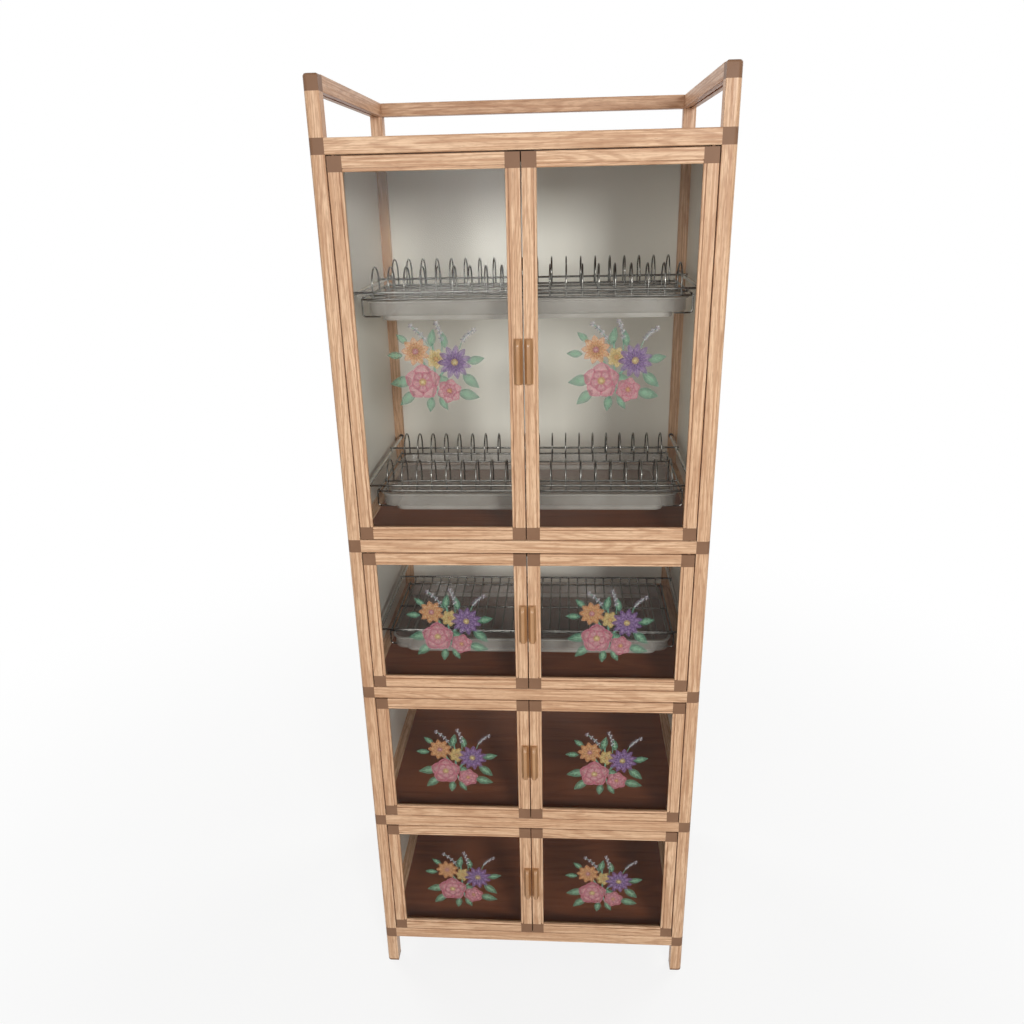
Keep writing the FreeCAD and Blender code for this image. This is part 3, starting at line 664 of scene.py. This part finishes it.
# %% [markdown]
# The pull is a bar whose sides slope, so its face is narrower than its foot. The face is slightly
# hollow, the top slopes back like a small roof and the bottom is rounded. It is built as a stack of
# sections from bottom to top, each a copy of one outline that stands out more or less. With the pulls,
# each door is complete.

# %% Pulls
PULL_SECTION = [
    # across and out in mm
    (0, 0), (0.4, 2.2), (2.0, 4.0), (3.6, 11.8), (4.6, 13.4), (5.6, 13.9), (7.5, 13.3), (9.4, 13.9),
    (10.4, 13.4), (11.4, 11.8), (13.0, 4.0), (14.6, 2.2), (15, 0),
]
PULL_LEVELS = [
    # height in mm, share of the section's depth
    (0, 0.55), (0.8, 0.80), (2.2, 0.95), (4.5, 1.0), (67.0, 1.0), (69.5, 0.97), (74.5, 0.72), (77.0, 0.56),
    (78.0, 0.44),
]


def pull(body):
    low_corner, high_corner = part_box(f"{body}_pull")
    middle = (low_corner.x + high_corner.x) / 2
    half_width = PULL_SECTION[-1][0] / 2
    mesh = bmesh.new()
    rings = []
    for height, share in PULL_LEVELS:
        z = low_corner.z + height * MM
        ring = []
        for across, out in PULL_SECTION:
            ring.append((middle + (across - half_width) * MM, FRONT - out * share * MM, z))
        rings.append(ring)
    skin(mesh, rings)
    make_piece(f"{body}_amber_pull", mesh, [AMBER], body, "amber_plastic", f"{body}_pull")


for body, (side, low, high) in DOORS.items():
    door_frame(body, side, low, high)
    door_corners(body, side, low, high)
    pull(body)

# %% [markdown]
# A drip tray is a moulded pan: a well in the middle, a ledge at both ends that lies on the hangers, a
# wall and a lip. Its plan is a rectangle with wide round corners, and so is the well's, which is
# shorter. Going over the section from the middle of the inside to the middle of the underside, each
# step is one of the two plans grown or shrunk, and neighbours are joined. The lip and the well get the
# finish of the milkier edges.

# %% Drip trays
TRAY_ROUND = 24 * MM
TRAY_LIP = 4 * MM
WELL_DROP = 9 * MM
WELL_END = 18.7 * MM
# each step is what the plan grows by and its height above the ledge, in mm
WELL_INSIDE = [(-11, -7.0), (-8.5, -6.4), (-7.2, -4.6), (-7.0, 0.6), (-6.2, 1.7)]
PAN_WALL = [
    (-5.0, 2.0), (-3.2, 2.6), (-2.4, 4.4), (-2.2, 24.6), (-1.4, 26.0), (3.2, 26.0), (4.0, 25.4),
    (4.0, 24.2), (3.4, 23.6), (0.5, 23.6), (0, 23.0), (0, 3.4), (-0.8, 1.0), (-2.6, 0),
]
WELL_OUTSIDE = [(-4.6, 0), (-5.0, -0.5), (-5.2, -6.0), (-6.4, -8.4), (-9.0, -9.0)]
CORNER_STEPS = 10


def tray_plan(low, high, grow):
    """The plan of a tray, grown outwards, as points round its four corners."""
    middle = (low + high) / 2
    reach = (high - low) / 2 - Vector((TRAY_ROUND, TRAY_ROUND))
    points = []
    for quarter, (along_x, along_y) in enumerate(((1, 1), (-1, 1), (-1, -1), (1, -1))):
        corner = middle + Vector((along_x * reach.x, along_y * reach.y))
        for step in range(CORNER_STEPS + 1):
            turn = math.pi / 2 * (quarter + step / CORNER_STEPS)
            points.append(corner + (TRAY_ROUND + grow) * pointing(turn))
    return points


def drip_tray(node):
    box_low, box_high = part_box(node)
    low = Vector((box_low.x + TRAY_LIP, box_low.y + TRAY_LIP))
    high = Vector((box_high.x - TRAY_LIP, box_high.y - TRAY_LIP))
    mesh = bmesh.new()
    rings = []
    ledge = box_low.z + WELL_DROP
    for steps, shorter in ((WELL_INSIDE, WELL_END), (PAN_WALL, 0.0), (WELL_OUTSIDE, WELL_END)):
        inset = Vector((shorter, 0.0))
        for grow, height in steps:
            plan = tray_plan(low + inset, high - inset, grow * MM)
            rings.append([(x, y, ledge + height * MM) for x, y in plan])
    for face in skin(mesh, rings)[2:]:
        height = face.calc_center_median().z
        face.material_index = int(height < ledge or height > box_high.z - TRAY_LIP)
    make_piece(f"milky_{node}", mesh, [MILKY, MILKY_EDGE], node, "milky_plastic", node)


for tray in ("upper_drip_tray", "lower_drip_tray", "basket_drip_tray"):
    drip_tray(tray)

# %% [markdown]
# Each pane carries a printed spray of flowers. A picture could be laid on it, but a drawn print stays
# crisp at any size: every petal, leaf and line is a thin flat shape on the pane's inner face. Three inks
# run from its root over its field to its rim, kept in a colour attribute of the mesh, whose fourth
# value says how well the ink covers. The shapes lie in layers, the uppermost next to the glass. The
# spray itself is a generic one.

# %% Printing ink
INK_GRIT = tint(112, 92, 104)


def printed_ink():
    material, place = start_finish("printed_ink")
    colour = place.add("ShaderNodeAttribute", {"attribute_name": "ink"}, {}, "Color")
    cover = place.add("ShaderNodeAttribute", {"attribute_name": "ink"}, {}, "Alpha")
    flecks = place.noise((1300.0, 1300.0, 620.0), 2.0, 0.6).step(0.42, 0.66)
    shader = place.principled(Base_Color=(flecks * 0.35).mix(colour, INK_GRIT),
                              Roughness=flecks * 0.15 + 0.40, Alpha=cover * (1.0 - flecks * 0.38))
    return close_finish(material, shader)


def ink(red, green, blue, cover):
    """A printing ink as it looks on a screen, and how well it covers, 0 to 1."""
    return tint(red, green, blue)[:3] + (cover,)


INK = printed_ink()
PINK = (ink(240, 212, 200, 0.50), ink(196, 90, 114, 0.40), ink(208, 138, 152, 0.66))
PURPLE = (ink(206, 176, 208, 0.50), ink(94, 46, 118, 0.44), ink(150, 116, 168, 0.66))
ORANGE = (ink(246, 218, 150, 0.50), ink(210, 130, 68, 0.40), ink(212, 160, 116, 0.66))
YELLOW = (ink(246, 232, 180, 0.50), ink(206, 166, 80, 0.38), ink(214, 186, 124, 0.66))
GREEN = (ink(150, 196, 160, 0.50), ink(44, 112, 82, 0.44), ink(100, 152, 126, 0.66))
LILAC = (ink(216, 208, 212, 0.46), ink(170, 158, 172, 0.34), ink(118, 104, 122, 0.50))

# %% [markdown]
# All of the print is made of three kinds of flat shape: any outline, a blade for leaves and petals, and a
# tapered line. Each has two faces and a rim, so it stays a closed solid, as thin as a layer of ink.

# %% Flat shapes of ink
PANE_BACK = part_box("upper_right_door_glass")[1].y
INK_LAYER = 0.02 * MM
RIM_SHARE = 0.88
ROOT_SHARE = 0.4
OUTLINE_STEPS = 7


def flat_shape(mesh, outline, root, inks, layer):
    """A thin flat shape on a pane, with its inks at the root, in the field and on the rim."""
    attribute = mesh.verts.layers.float_color["ink"]
    rims = []
    for depth in (PANE_BACK + layer * INK_LAYER, PANE_BACK + (layer + 1) * INK_LAYER):
        rings = []
        for share, colour in zip((0.0, RIM_SHARE, 1.0), inks):
            points = [root.lerp(point, share) for point in (outline if share else [root])]
            rings.append([mesh.verts.new((point.x, depth, point.y)) for point in points])
            for vert in rings[-1]:
                vert[attribute] = colour
        centre, field, rim = rings
        for index in range(len(outline)):
            after = (index + 1) % len(outline)
            mesh.faces.new((centre[0], field[index], field[after]))
            mesh.faces.new((field[index], rim[index], rim[after], field[after]))
        rims.append(rim)
    for index in range(len(outline)):
        after = (index + 1) % len(outline)
        mesh.faces.new((rims[0][index], rims[0][after], rims[1][after], rims[1][index]))


def blade(mesh, start, heading, length, width, fullness, inks, layer):
    """A leaf or petal: a lens along its heading, widest further out as its fullness grows."""
    ahead = pointing(heading)
    aside = pointing(heading + math.pi / 2)
    shares = [step / OUTLINE_STEPS for step in range(OUTLINE_STEPS + 1)]
    halves = [width / 2 * math.sin(math.pi * share ** fullness) for share in shares]
    one_side = [start + ahead * length * share + aside * half for share, half in zip(shares, halves)]
    other_side = [start + ahead * length * share - aside * half for share, half in zip(shares, halves)]
    flat_shape(mesh, one_side + other_side[-2:0:-1], start + ahead * length * ROOT_SHARE, inks, layer)


def thin_line(mesh, start, heading, length, width, colour, layer):
    """A drawn line that tapers to both ends."""
    middle = start + pointing(heading) * length / 2
    aside = pointing(heading + math.pi / 2) * width / 2
    outline = [start, middle + aside, start + pointing(heading) * length, middle - aside]
    flat_shape(mesh, outline, middle, (colour,) * 3, layer)


print("the print starts at", round(PANE_BACK / MM, 2), "mm, behind the glass")

# %% [markdown]
# An open flower is a heart, a round of short petals and a round of long ones behind it, and three fine
# lines on each long petal. A leaf has a rib and two pairs of veins. Each line lies one layer nearer to the
# glass than what it is drawn on.

# %% Flowers, leaves and stems
HEART_SHARE = 0.2
HEART_STEPS = 12
PETAL_ROUNDS = [
    # reach as a share of the radius, turn as a share of a petal, layers below the heart
    (0.66, 0.5, 1), (1.0, 0.0, 7),
]
PETAL_FULLNESS, LEAF_FULLNESS = 1.5, 0.85
LINE_WIDTH = 1.7 * MM
LINE_REACH = 0.9
LINE_FAN = 0.14
RIB_WIDTH, RIB_REACH = 1.5 * LINE_WIDTH, 0.95
VEIN_STARTS, VEIN_REACH, VEIN_TURN = (0.25, 0.5), 0.55, 0.6
FLOWER_TURN = 0.3
FLOWER_LAYERS = 14


def pair_of_layers(number):
    """Neighbours that overlap take turns in three pairs of layers, each for a shape and its lines."""
    return 2 * (number % 3)


def blossom(mesh, centre, radius, petals, plump, inks, heart, layer):
    turns = [math.tau * step / HEART_STEPS for step in range(HEART_STEPS)]
    rim = [centre + HEART_SHARE * radius * pointing(turn) for turn in turns]
    flat_shape(mesh, rim, centre, heart, layer)
    for reach, offset, below in PETAL_ROUNDS:
        for number in range(petals):
            heading = math.tau * (number + offset) / petals + FLOWER_TURN
            place = layer + below + pair_of_layers(number)
            width = plump * reach * radius
            blade(mesh, centre, heading, reach * radius, width, PETAL_FULLNESS, inks, place + 1)
            for fan in (-LINE_FAN, 0.0, LINE_FAN):
                length = (LINE_REACH - abs(fan)) * reach * radius
                thin_line(mesh, centre, heading + plump * fan, length, LINE_WIDTH, inks[2], place)


def leaf(mesh, start, heading, length, width, layer):
    thin_line(mesh, start, heading, RIB_REACH * length, RIB_WIDTH, GREEN[0], layer)
    for share in VEIN_STARTS:
        root = start + pointing(heading) * length * share
        for turn in (VEIN_TURN, -VEIN_TURN):
            thin_line(mesh, root, heading + turn, VEIN_REACH * width, LINE_WIDTH, GREEN[0], layer)
    blade(mesh, start, heading, length, width, LEAF_FULLNESS, GREEN, layer + 1)


def curve_point(start, bend, end, share):
    """A point of the curve from start to end that is drawn towards its bend."""
    return start.lerp(bend, share).lerp(bend.lerp(end, share), share)


def stem(mesh, start, bend, end, width, layer):
    attribute = mesh.verts.layers.float_color["ink"]
    one_side, other_side = [], []
    for step in range(OUTLINE_STEPS + 1):
        share = step / OUTLINE_STEPS
        ahead = (start.lerp(bend, share) - bend.lerp(end, share)).normalized()
        aside = Vector((-ahead.y, ahead.x)) * width / 2
        one_side.append(curve_point(start, bend, end, share) + aside)
        other_side.append(curve_point(start, bend, end, share) - aside)
    low = PANE_BACK + layer * INK_LAYER
    for face in draw_out(mesh, one_side + other_side[::-1], "y", low, low + INK_LAYER):
        for vert in face.verts:
            vert[attribute] = GREEN[2]


print("a flower is", round(FLOWER_LAYERS * INK_LAYER / MM, 2), "mm deep")

# %% [markdown]
# The spray is laid out in millimetres about its own middle: five flowers that overlap, leaves round and
# between them, and sprigs of small stars above. Every pane of every size carries the same one.

# %% Flower spray
FLOWERS = [
    # across, up, radius, petals, plumpness, inks, heart
    (-22, -26, 32, 5, 0.95, PINK, YELLOW),
    (35, 8, 30, 11, 0.36, PURPLE, YELLOW),
    (-32, 27, 25, 9, 0.46, ORANGE, PINK),
    (24, -42, 22, 6, 0.80, PINK, ORANGE),
    (3, 14, 18, 7, 0.62, YELLOW, ORANGE),
]
LEAVES = [
    # across, up, heading in degrees, length, width
    (-38, -22, 190, 42, 20), (-36, -42, 222, 38, 18), (-8, -52, 262, 28, 15), (38, -44, 345, 40, 19),
    (48, -12, 318, 38, 18), (8, -14, 300, 36, 20), (-6, 34, 78, 32, 14), (-54, 20, 178, 28, 13),
    (20, 32, 98, 28, 13), (56, 8, 12, 32, 15), (-44, 40, 140, 26, 12), (6, -52, 300, 28, 13),
]
SPRIGS = [
    # start, bend and end of a stem, each across and up
    ((-8, 30), (-14, 54), (-38, 70)), ((14, 26), (16, 56), (6, 74)), ((44, 30), (50, 52), (70, 62)),
]
STEMS = [((-8, -58), (4, -20), (-2, 40)), ((-2, -30), (14, -6), (32, 6)), ((6, -52), (-6, -6), (-28, 20))]
PRINT_DROP = 10 * MM
STAR_SHARES = (0.4, 0.6, 0.8, 1.0)
STAR_RADIUS, STAR_WIDTH = 6 * MM, 3 * MM
STAR_POINTS = 5
STEM_WIDTH = 2 * LINE_WIDTH
LEAF_LAYER = FLOWER_LAYERS * len(FLOWERS)
STEM_LAYER = LEAF_LAYER + 6


def flower_print(body):
    low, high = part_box(f"{body}_glass")
    middle = Vector(((low.x + high.x) / 2, (low.z + high.z) / 2 - PRINT_DROP))

    def spot(across, up):
        return middle + Vector((across, up)) * MM

    mesh = bmesh.new()
    mesh.verts.layers.float_color.new("ink")
    for number, (across, up, radius, petals, plump, inks, heart) in enumerate(FLOWERS):
        layer = FLOWER_LAYERS * number
        blossom(mesh, spot(across, up), radius * MM, petals, plump, inks, heart, layer)
    for number, (across, up, heading, length, width) in enumerate(LEAVES):
        layer = LEAF_LAYER + pair_of_layers(number)
        leaf(mesh, spot(across, up), math.radians(heading), length * MM, width * MM, layer)
    for start, bend, end in STEMS:
        stem(mesh, spot(*start), spot(*bend), spot(*end), STEM_WIDTH, STEM_LAYER + 1)
    for start, bend, end in SPRIGS:
        curve = (spot(*start), spot(*bend), spot(*end))
        stem(mesh, *curve, LINE_WIDTH, STEM_LAYER)
        for share in STAR_SHARES:
            at = curve_point(*curve, share)
            for point in range(STAR_POINTS):
                heading = math.tau * point / STAR_POINTS + share
                thin_line(mesh, at, heading, STAR_RADIUS, STAR_WIDTH, LILAC[point % 3], LEAF_LAYER - 1)
    make_piece(f"{body}_print", mesh, [INK], body, "pane_glass")


for body in DOORS:
    flower_print(body)

# %% [markdown]
# Panels, boards, bars, cups, catches, feet, racks and panes already have their real shape in the model.
# They keep it and get their finishes.

# %% Finishes for the pieces that keep their shape
KEPT = {
    "side_panels": PANEL, "back_panels": PANEL, "shelf_boards": LAMINATE, "feet": BROWN,
    "rack_bars": HIGHLIGHT_PALE_BAR, "bar_cups": DARK, "magnetic_catches": DARK,
    "upper_plate_rack": SHADE_DARKENED_WIRE, "lower_plate_rack": SHADE_DARKENED_WIRE, "basket_rack": SHADE_DARKENED_WIRE,
}
for body in DOORS:
    KEPT[f"{body}_glass"] = PANE
    KEPT[f"{body}_strike"] = STEEL
for node, finish in KEPT.items():
    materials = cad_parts[node].data.materials
    materials.clear()
    materials.append(finish)
print("kept", len(KEPT), "pieces")

# %% [markdown]
# The cabinet stands on a plain pale floor. What the camera, mirrors and panes see of it is nearly white,
# while the light that it gives back stays plain. It glows fully only some way off, so the ground is white
# like a studio's and still keeps a shadow.

# %% Floor
FLOOR_SIDE = 40.0
FLOOR_DEEP, FLOOR_PALE = tint(210, 210, 208), tint(216, 216, 214)
FLOOR_GLOW = 0.84
GLOW_NEAR, GLOW_FAR = 0.6, 2.4


def seen_directly(tree):
    """1 for rays from the camera, a mirror or a pane, and 0 for the rays that carry light."""
    path = tree.nodes.new("ShaderNodeLightPath")
    kinds = [Signal(tree, path.outputs[f"Is {kind} Ray"]) for kind in ("Camera", "Glossy", "Transmission")]
    return (kinds[0] + kinds[1] + kinds[2]).step(0.0, 1.0)


floor_finish, place = start_finish("pale_floor_paint")
mottle = place.noise((3.0, 3.0, 3.0), 2.0)
paint = place.principled(Base_Color=mottle.mix(FLOOR_DEEP, FLOOR_PALE), Roughness=0.9)
glow = place.add("ShaderNodeEmission", {}, {"Color": WHITE, "Strength": 1.0})
distance = place.add("ShaderNodeVectorMath", {"operation": "LENGTH"}, {0: place}, "Value")
away = distance.step(GLOW_NEAR, GLOW_FAR)
share = seen_directly(floor_finish.node_tree) * (away * (1 - FLOOR_GLOW) + FLOOR_GLOW)
close_finish(floor_finish, place.add("ShaderNodeMixShader", {}, {0: share, 1: paint, 2: glow}))

mesh = bmesh.new()
bmesh.ops.create_grid(mesh, x_segments=1, y_segments=1, size=FLOOR_SIDE / 2)
floor_data = bpy.data.meshes.new("pale_floor")
mesh.to_mesh(floor_data)
mesh.free()
floor_data.materials.append(floor_finish)
floor = bpy.data.objects.new("pale_floor", floor_data)
bpy.context.scene.collection.objects.link(floor)
print("floor", FLOOR_SIDE, "m wide")

# %% [markdown]
# The light is soft: a dim even sky, a key lamp at the front right and a larger fill lamp at the front
# left. Both stand far enough in front to reach through the panes, and a little above, so the low storeys
# stay in shade. Two lamps high behind light the sides, the back and the top. Like the floor, the sky looks
# white to camera, mirrors and panes, and gives only a little light.

# %% Sky and lamps
SKY_LIGHT = 0.20
LAMPS = {
    # place, power in watts, side of the lamp
    "key_lamp": (Vector((1.6, -4.2, 2.3)), 104.0, 0.9),
    "fill_lamp": (Vector((-1.2, -4.2, 2.0)), 60.0, 2.0),
    "right_back_lamp": (Vector((3.0, 2.4, 3.4)), 85.0, 1.6),
    "left_back_lamp": (Vector((-3.0, 2.4, 3.4)), 85.0, 1.6),
}
LAMP_TARGET = Vector((0.0, 0.0, 1.0))

world = bpy.data.worlds.new("soft_sky")
bpy.context.scene.world = world
world.use_nodes = True
world.node_tree.nodes.clear()
seen = seen_directly(world.node_tree)
strength = seen * (1 - SKY_LIGHT) + SKY_LIGHT
sky = seen.add("ShaderNodeBackground", {}, {"Color": WHITE, "Strength": strength})
sky.add("ShaderNodeOutputWorld", {}, {"Surface": sky})

for name, (lamp_place, power, lamp_side) in LAMPS.items():
    lamp_data = bpy.data.lights.new(name, "AREA")
    lamp_data.energy = power
    lamp_data.size = lamp_side
    lamp = bpy.data.objects.new(name, lamp_data)
    lamp.location = lamp_place
    lamp.rotation_euler = (LAMP_TARGET - lamp_place).to_track_quat("-Z", "Y").to_euler()
    bpy.context.scene.collection.objects.link(lamp)
bpy.context.scene.view_settings.view_transform = "Standard"
print(len(LAMPS), "lamps, sky", SKY_LIGHT)
